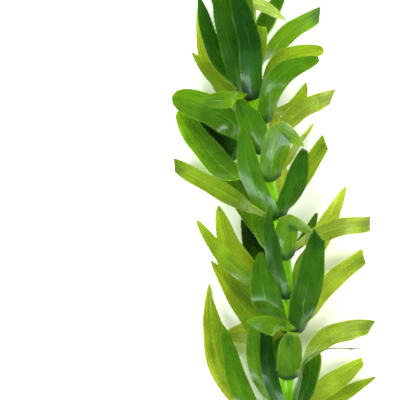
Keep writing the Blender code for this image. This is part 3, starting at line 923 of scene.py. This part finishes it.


# A leaf's tint is partly painted shade: those that lie behind, under or among others are given deeper tints.
LEAVES = (
    Leaf(1, "right", 328, 40, (14.6, -40.6, 3.6), (23.6, -35.7, 0.2), 2.8, Tint.FRESH),
    Leaf(1, "left", 160, 45, (-3.4, -39.0, 7.0), (-7.3, -25.1, 4.2), 4.0, Tint.MID),
    Leaf(1, "lower_left", 205, 52, (-5.6, -34.6, 2.8), (-9.9, -19.2, 2.2), 3.4, Tint.OLIVE),
    Leaf(1, "under_left", 225, 60, (-8.0, -34.6, 0.8), (-10.2, -16.8, 0.2), 3.6, Tint.LIME),
    Leaf(2, "right", 318, 42, (12.4, -38.2, 5.6), (20.7, -32.7, 1.5), 4.0,
         Tint.LIME, 0.4, End.FOLDED, slant=0.4),
    Leaf(2, "upper_right", 48, 24, (9.7, -31.4, 12.6), (20.0, -29.7, 11.0), 1.2,
         Tint.DEEP, ending=End.TORN, roll=62),
    Leaf(2, "front_right", 29, 16, (9.4, -37.0, 7.6), (11.2, -30.4, 4.4), 4.0, Tint.EDGED, 0.3, End.ROUNDED),
    Leaf(2, "front_left", 108, 14, (2.0, -35.0, 10.3), (1.0, -24.0, 9.9), 3.0, Tint.SHADED, 0.2, End.ROUNDED),
    Leaf(2, "left", 162, 20, (-0.7, -34.0, 9.2), (-1.3, -24.2, 9.0), 3.0, Tint.LEAFY, 0.2, End.ROUNDED),
    Leaf(3, "front", 88, 18, (5.8, -30.6, 13.4), (6.4, -26.8, 16.0), 4.7,
         Tint.LEAFY, 0.5, End.FOLDED, slant=0.0),
    Leaf(3, "right", 2, 36, (13.0, -27.8, 8.0), (22.4, -25.8, 0.3), 4.2,
         Tint.LIME, 0.65, End.FOLDED, slant=0.9),
    Leaf(3, "left", 180, 35, (-2.0, -23.8, 5.4), (-9.8, -12.2, 3.2), 4.0, Tint.FRESH),
    Leaf(3, "under", 280, 50, (2.0, -20.4, 0.5), (-3.0, -3.8, 0.5), 5.6, Tint.SHADED, 0.3),
    Leaf(4, "front", 112, 60, (2.0, -24.9, 15.4), (-2.8, -24.1, 15.6), 3.6, Tint.LEAFY),
    Leaf(4, "front_right", 46, 15, (9.4, -17.8, 12.6), (11.7, -7.4, 12.0), 5.8,
         Tint.DEEP, 0.5, End.FOLDED, slant=0.8, taper=0.2),
    Leaf(4, "right", 335, 32, (13.0, -17.8, 6.4), (20.9, -11.5, 1.0), 3.7,
         Tint.LIME, 0.75, End.FOLDED, slant=0.45),
    Leaf(4, "front_left", 152, 20, (0.9, -18.6, 12.4), (0.2, -10.4, 11.4), 5.4, Tint.MID, 0.1),
    Leaf(4, "left", 205, 40, (-3.2, -18.4, 6.2), (-8.8, -9.8, 4.8), 4.2, Tint.FRESH, 0.15),
    Leaf(4, "under_left", 245, 85, (-1.0, -26.8, 3.2), (-7.6, -27.2, 2.2), 4.8, Tint.LIME),
    Leaf(5, "right", 318, 22, (12.0, -8.2, 5.2), (17.4, 2.8, 3.0), 3.8, Tint.LIME),
    Leaf(5, "front_right", 22, 24, (8.2, -14.0, 10.0), (9.6, -9.6, 8.4), 3.0, Tint.FRESH),
    Leaf(5, "front_left", 112, 26, (2.3, -9.4, 12.8), (1.6, -1.6, 13.4), 3.0, Tint.DEEP),
    Leaf(5, "left", 215, 68, (-4.6, -11.8, 6.4), (-8.3, -1.2, 5.8), 4.8, Tint.FRESH, 0.05),
    Leaf(5, "far_left", 158, 66, (-5.8, -12.7, 9.8), (-12.6, -4.1, 7.6), 3.2, Tint.FRESH, 0.1),
    Leaf(6, "front", 80, 15, (5.5, -4.4, 14.6), (10.4, -6.5, 15.0), 4.2,
         Tint.LEAFY, roll=40, crease=0.25, taper=0.45),
    Leaf(6, "right", 15, 30, (13.0, -6.4, 8.4), (22.2, -4.8, 0.4), 3.5,
         Tint.LIME, 0.82, End.FOLDED, slant=0.15),
    Leaf(6, "lower_right", 320, 25, (9.2, -7.4, 7.0), (11.4, -2.6, 7.0), 2.0, Tint.DEEP, 0.2),
    Leaf(6, "front_left", 172, 25, (0.4, -5.6, 7.6), (-2.2, 1.8, 5.8), 3.0, Tint.MID),
    Leaf(6, "under_left", 238, 38, (-1.4, -2.2, 2.4), (-10.6, 8.2, 1.2), 5.0, Tint.MID),
    Leaf(7, "front_right", 48, 15, (7.0, 3.4, 11.5), (8.9, 9.8, 10.2), 4.1, Tint.DEEP, 0.35, End.FOLDED),
    Leaf(7, "right", 330, 22, (7.6, 3.2, 7.4), (13.1, 11.4, 4.0), 3.4,
         Tint.OLIVE, 0.75, End.FOLDED, slant=0.8),
    Leaf(7, "front_left", 126, 18, (-2.0, 5.6, 13.0), (-3.5, 15.0, 13.2), 4.3, Tint.MID),
    Leaf(7, "left", 165, 55, (-7.0, 1.4, 7.6), (-17.0, 6.9, 0.6), 3.5,
         Tint.OLIVE, 0.7, End.FOLDED, slant=0.8),
    Leaf(7, "under", 290, 40, (3.8, 7.6, 2.4), (2.6, 21.0, 4.2), 3.6, Tint.LIME),
    Leaf(8, "front", 70, 20, (4.0, 13.6, 14.8), (8.6, 10.8, 15.2), 5.2,
         Tint.LEAFY, roll=35, crease=0.25, taper=0.45),
    Leaf(8, "right", 350, 15, (6.4, 9.6, 8.0), (10.8, 15.4, 7.5), 2.0, Tint.LIME, roll=50),
    Leaf(8, "left", 192, 78, (-7.4, 6.6, 4.2), (-16.4, 18.0, 1.0), 5.0, Tint.LEAFY, 0.1, End.ROUNDED),
    Leaf(9, "front_left", 102, 12, (-1.9, 15.2, 12.2), (-4.4, 20.0, 10.8), 4.9, Tint.MID),
    Leaf(9, "right", 10, 20, (7.2, 17.2, 9.0), (14.5, 20.6, 2.9), 3.7, Tint.LIME, 0.7, End.FOLDED, slant=1.2),
    Leaf(9, "left", 185, 48, (-6.4, 16.3, 6.8), (-17.6, 20.8, 4.0), 6.3, Tint.MID, 0.1, End.ROUNDED),
    Leaf(9, "under", 238, 65, (-5.6, 10.6, 1.6), (-13.0, 15.4, 0.3), 5.2, Tint.SHADED, 0.4),
    Leaf(10, "front_right", 50, 12, (3.7, 24.3, 13.4), (11.7, 28.1, 11.4), 4.4, Tint.MID, 0.2),
    Leaf(10, "right", 335, 32, (6.8, 18.4, 6.0), (9.3, 23.6, 6.2), 3.0, Tint.OLIVE),
    Leaf(10, "left", 168, 45, (-7.2, 22.4, 7.8), (-13.7, 29.7, 3.6), 3.0, Tint.FRESH),
    Leaf(10, "under_left", 236, 56, (-9.0, 26.4, 2.2), (-12.2, 39.8, 2.4), 4.4, Tint.FRESH),
    Leaf(11, "front", 92, 26, (-2.2, 31.6, 13.0), (-5.8, 43.6, 12.2), 4.4, Tint.SHADED),
    Leaf(11, "right", 2, 27, (4.4, 28.0, 9.0), (12.8, 30.0, 7.4), 3.4, Tint.OLIVE, 0.2, End.ROUNDED),
    Leaf(11, "front_left", 158, 76, (-6.0, 20.0, 14.2), (-11.8, 19.6, 13.8), 3.2,
         Tint.LEAFY, 0.05, End.ROUNDED),
    Leaf(11, "left", 186, 24, (-8.6, 28.6, 7.8), (-12.4, 41.2, 8.0), 3.4, Tint.SHADED, roll=15),
    Leaf(11, "upper_left", 136, 24, (-6.0, 30.8, 10.6), (-9.0, 43.0, 10.0), 4.0, Tint.DEEP),
    Leaf(12, "right", 350, 35, (5.1, 32.8, 7.2), (12.0, 37.3, 1.6), 3.6,
         Tint.LEAFY, 0.75, End.FOLDED, slant=0.9),
    Leaf(12, "front_right", 62, 12, (0.1, 29.8, 10.2), (0.4, 34.3, 9.8), 2.2, Tint.OLIVE, 0.75, End.FOLDED),
    Leaf(12, "left", 210, 25, (-5.4, 34.0, 3.8), (-10.6, 44.2, 3.6), 3.6, Tint.SHADED),
    Leaf(13, "right", 350, 22, (1.0, 35.2, 7.2), (5.2, 42.6, 6.0), 3.6, Tint.EDGED),
    Leaf(13, "front", 80, 14, (-2.8, 39.0, 10.8), (-4.2, 49.0, 10.0), 2.8, Tint.MID),
    Leaf(13, "left", 190, 22, (-7.0, 37.6, 6.2), (-10.8, 46.6, 5.6), 3.4, Tint.DEEP),
    Leaf(14, "front_right", 50, 10, (-1.5, 39.3, 9.0), (5.2, 36.0, 9.6), 2.4, Tint.PALE),
    Leaf(14, "front_left", 135, 14, (-5.6, 41.6, 9.0), (-7.6, 49.2, 8.2), 3.2, Tint.DEEP),
)


@dataclass
class FullGrownLeaves:
    """All the full-grown leaves, in whorls round the stem."""

    materials: dict[Tint, Material]
    # How far a base stands off the stem's skin, and how much further in front.
    clearance: float = 0.25
    front_step: float = 0.4
    # The widest turn about the stem that one base takes up, in degrees, and how far neighbours overlap.
    most_room: float = 110.0
    overlap: float = 2.4
    point: float = 0.03

    def seat_width(self, leaf: Leaf, out: float) -> float:
        """Return how wide a leaf's base may be between its whorl's other leaves.

        Args:
            leaf: The leaf.
            out: How far its base is from the stem's axis.

        Returns:
            The width, in millimetres.
        """
        others = [other.around - leaf.around for other in LEAVES if other.whorl == leaf.whorl]
        gaps = [abs((turn + 180.0) % 360.0 - 180.0) for turn in others if turn]
        return self.overlap * out * math.radians(min(gaps + [self.most_room]))

    def curve(self, leaf: Leaf) -> BladeCurve:
        """Return the curve that a leaf follows.

        Args:
            leaf: The leaf.

        Returns:
            The curve from the stem's skin to the leaf's end.
        """
        out = STEM_RADIUS * WHORL_SWELL + self.clearance
        # Where bases overlap, those in front lie outside.
        out += self.front_step * max(0.0, math.sin(math.radians(leaf.around)))
        index = leaf.whorl - 1
        return BladeCurve(
            Vector(WHORLS[index]), heading(WHORLS, index), leaf.around, leaf.lean, Vector(leaf.middle),
            Vector(leaf.tip), leaf.width, out, self.seat_width(leaf, out), roll=leaf.roll,
            end=max(leaf.end, self.point), crease=leaf.crease, taper_from=leaf.taper, ending=leaf.ending,
        )

    def build(self) -> None:
        """Build and dress every leaf."""
        for seed, leaf in enumerate(LEAVES):
            name = f"{leaf.side}_leaf_of_whorl_{leaf.whorl}"
            piece = BladeSheet(self.curve(leaf), name, seed, leaf.ending, slant=leaf.slant).build()
            piece.data.materials.append(self.materials[leaf.tint])
            hand_over(piece, f"leaf_{leaf.whorl:02d}_{leaf.side}")


@dataclass
class Stem:
    """The round stem, swollen a little at each whorl, with the spongy face of its cut end."""

    material: Material
    axis: StemAxis
    taper: float = 0.14
    bulge_reach: float = 0.4
    sides: int = 24
    steps: int = 6
    # The rings of each end's face, from its edge inwards: how far each is raised, and how wide it is.
    face_rings: tuple[tuple[float, float], ...] = ((0.0, 0.12), (-0.06, 0.25), (0.03, 0.5))

    def radius_at(self, index: int, count: int) -> float:
        """Return the rod's radius at one of its rings.

        Args:
            index: The ring's number from the cut end.
            count: How many rings there are.

        Returns:
            The radius, in millimetres.
        """
        from_knot = min(index % self.steps, self.steps - index % self.steps) / self.steps
        near = 1.0 - smooth(from_knot / self.bulge_reach)
        bulge = (WHORL_SWELL - 1.0) * near if index >= self.steps // 2 else 0.0
        return STEM_RADIUS * (1.0 - self.taper * index / count) * (1.0 + bulge)

    def close_ends(self, mesh: Mesh) -> None:
        """Close both ends of the rod with a face of rings.

        Args:
            mesh: The open rod.
        """
        sheet = bmesh.new()
        sheet.from_mesh(mesh)
        rims = [edge for edge in sheet.edges if edge.is_boundary]
        caps = bmesh.ops.holes_fill(sheet, edges=rims, sides=0)["faces"]
        for depth, width in self.face_rings:
            bmesh.ops.inset_region(sheet, faces=caps, thickness=width * MM, depth=depth * MM)
        bmesh.ops.recalc_face_normals(sheet, faces=sheet.faces)
        sheet.to_mesh(mesh)
        sheet.free()

    def build(self) -> None:
        """Build the stem ring by ring from a circle at its cut end, and close both ends."""
        points = self.axis.points(self.steps)
        piece = raise_rod(self.sides, len(points), "NOTHING")
        piece.name = piece.data.name = "cut_stem"
        mesh = piece.data
        spots = [(math.atan2(vertex.co.y, vertex.co.x) / (2.0 * math.pi) + 0.5, round(vertex.co.z))
                 for vertex in mesh.vertices]
        uv = mesh.uv_layers.new(name="rod")
        for polygon in mesh.polygons:
            furthest = max(spots[corner][0] for corner in polygon.vertices)
            for loop in polygon.loop_indices:
                around, ring = spots[mesh.loops[loop].vertex_index]
                # On the last face round the rod the map runs on past 1.
                uv.data[loop].uv = (around + (1.0 if furthest - around > 0.5 else 0.0), ring)
        for vertex, (around, ring) in zip(mesh.vertices, spots):
            vertex.co = on_ring(points, ring, 360.0 * around, self.radius_at(ring, len(points)))
        self.close_ends(mesh)
        mesh.materials.append(self.material)
        shade_smooth(piece, 50.0)
        hand_over(piece, "stem")


@dataclass
class GrowingTip:
    """The bud at the top of the stem: young leaves crowded round the apex."""

    material: Material
    # For each young whorl: how many leaves, their length and width, and their lean in degrees.
    whorls: tuple[tuple[int, float, float, float], ...] = (
        (5, 10.5, 2.3, 15), (5, 9.0, 1.9, 12), (5, 7.0, 1.5, 10), (4, 5.0, 1.0, 8),
    )
    columns: tuple[float, ...] = (-1.0, -0.6, -0.12, 0.12, 0.6, 1.0)
    core_radii: tuple[float, ...] = (1.2, 1.05, 0.85, 0.65, 0.3)
    turn: float = 45.0
    sink: float = 0.4
    bulge: float = 0.6
    gap: float = 0.3
    point: float = 0.03
    sides: int = 16
    first_seed: int = 100

    def young_curve(self, whorl: int, index: int) -> BladeCurve:
        """Return the curve of one young leaf.

        Args:
            whorl: Its whorl's number.
            index: Its own number in the whorl.

        Returns:
            The curve, which bows out and closes in again over the apex.
        """
        count, length, width, lean = self.whorls[whorl]
        node = Vector(YOUNG_WHORLS[whorl])
        direction = heading(YOUNG_WHORLS, whorl)
        around = 360.0 * (index + 0.5) / count + self.turn * whorl
        out = outward(direction, around)
        spread = math.tan(math.radians(lean))
        radius = self.core_radii[whorl]
        middle = node + direction * (length * 0.5) + out * (length * self.bulge * spread + radius)
        tip = node + direction * length + out * (length * spread)
        return BladeCurve(node, direction, around, lean * 0.5, middle, tip, width, radius - self.sink, width,
                          end=self.point)

    def core(self) -> Object:
        """Build the tapering core that the young leaves grow from.

        Returns:
            The core, from just above the stem's end to the apex.
        """
        places = [Vector(place) for place in (*YOUNG_WHORLS, APEX)]
        below = Vector(WHORLS[-1]).lerp(places[0], STEM_END)
        places[0] = below + (places[0] - below).normalized() * self.gap
        piece = raise_rod(self.sides, len(places), "NGON")
        for vertex in piece.data.vertices:
            ring = round(vertex.co.z)
            around = math.degrees(math.atan2(vertex.co.y, vertex.co.x))
            vertex.co = on_ring(places, ring, around, self.core_radii[ring])
        piece.data.uv_layers.new(name="blade")
        deselect_all()
        piece.select_set(True)
        bpy.ops.object.mode_set(mode="EDIT")
        bpy.ops.mesh.select_all(action="SELECT")
        bpy.ops.mesh.normals_make_consistent(inside=False)
        bpy.ops.object.mode_set(mode="OBJECT")
        return piece

    def build(self) -> None:
        """Build the core and its young leaves, and join them into one bud."""
        bud = self.core()
        bud.data.materials.append(self.material)
        leaves = []
        for whorl, (count, *_) in enumerate(self.whorls):
            for index in range(count):
                seed = self.first_seed + 10 * whorl + index
                leaf = BladeSheet(
                    self.young_curve(whorl, index), f"young_{whorl}_{index}", seed, rows=18,
                    columns=self.columns, thick=0.16, tooth=0.03, wave=0.05, heel_steps=0,
                ).build()
                leaf.data.materials.append(self.material)
                leaves.append(leaf)
        deselect_all()
        for leaf in leaves:
            leaf.select_set(True)
        bud.select_set(True)
        bpy.context.view_layer.objects.active = bud
        bpy.ops.object.join()
        bud.name = bud.data.name = "bud_of_young_leaves"
        shade_smooth(bud, 60.0)
        hand_over(bud, "growing_tip")


@dataclass(frozen=True)
class Softbox:
    """A square soft light that faces the sprig, placed and sized in millimetres, with its power in watts.

    Wet leaves mirror one that shines. One that does not shine is hidden from their reflections, so it leaves
    no highlight.
    """

    name: str
    place: Place
    size: float
    power: float
    colour: str = "#FFFFFF"
    shines: bool = False

    def hang(self) -> None:
        """Hang the light where it belongs, turned to the sprig."""
        light = bpy.data.lights.new(self.name, "AREA")
        light.shape = "SQUARE"
        light.size = self.size * MM
        light.energy = self.power
        light.color = linear(self.colour)[:3]
        lamp = bpy.data.objects.new(self.name, light)
        lamp.location = Vector(self.place) * MM
        lamp.rotation_mode = "QUATERNION"
        lamp.rotation_quaternion = (-lamp.location).to_track_quat("-Z", "Y")
        lamp.visible_glossy = self.shines
        bpy.context.scene.collection.objects.link(lamp)


@dataclass
class Studio:
    """The pale board, the soft light and the camera that looks straight down."""

    board_size: float = 3000.0
    # The photo's frame is 80 mm across, and its middle is 12 mm left of the drawing's origin.
    frame_width: float = 80.0
    frame_middle: tuple[float, float] = (-12.0, 0.0)
    stem_height: float = 9.0
    camera_height: float = 900.0
    sky: str = "#EEF4F6"
    sky_strength: float = 0.1
    softboxes: tuple[Softbox, ...] = (
        Softbox("window_light", (-110.0, -330.0, 450.0), 230.0, 1.9, "#DCF6E4", True),
        Softbox("left_light", (-520.0, 60.0, 420.0), 400.0, 5.0),
        Softbox("right_light", (520.0, 60.0, 420.0), 400.0, 5.0),
        Softbox("far_light", (0.0, 540.0, 420.0), 420.0, 7.8),
    )

    def lay_board(self) -> None:
        """Lay the board under the sprig."""
        deselect_all()
        bpy.ops.mesh.primitive_plane_add(size=self.board_size * MM, location=(0.0, 0.0, 0.0))
        board = bpy.context.object
        board.name = board.data.name = "board"
        board.data.materials.append(PaleBoard().build())

    def light_up(self) -> None:
        """Light the sprig softly from all round, and from a near window that its wet leaves mirror."""
        world = bpy.data.worlds.new("soft_daylight")
        world.use_nodes = True
        background = world.node_tree.nodes["Background"]
        background.inputs[0].default_value = linear(self.sky)
        background.inputs[1].default_value = self.sky_strength
        bpy.context.scene.world = world
        for softbox in self.softboxes:
            softbox.hang()
        view = bpy.context.scene.view_settings
        view.view_transform = "Standard"
        view.look = "None"

    def set_camera(self) -> None:
        """Set the camera straight above, far off, so that heights hardly shift what it sees."""
        data = bpy.data.cameras.new("camera")
        camera = bpy.data.objects.new("camera", data)
        data.angle = 2.0 * math.atan(0.5 * self.frame_width / (self.camera_height - self.stem_height))
        data.clip_start, data.clip_end = 0.05, 20.0
        middle = Vector((*self.frame_middle, self.camera_height)) + DRAWING_ORIGIN
        camera.location = middle * MM
        bpy.context.scene.collection.objects.link(camera)
        bpy.context.scene.camera = camera


def main() -> None:
    """Build the sprig piece by piece and set the studio round it."""
    logging.basicConfig(level=logging.INFO, format="%(message)s", stream=sys.stdout)
    materials = {tint: tissue.build(tint.value) for tint, tissue in TISSUES.items()}
    Stem(StemTissue().build(), StemAxis()).build()
    FullGrownLeaves(materials).build()
    GrowingTip(materials[Tint.YOUNG]).build()
    studio = Studio()
    studio.lay_board()
    studio.light_up()
    studio.set_camera()


if __name__ == "__main__":
    main()
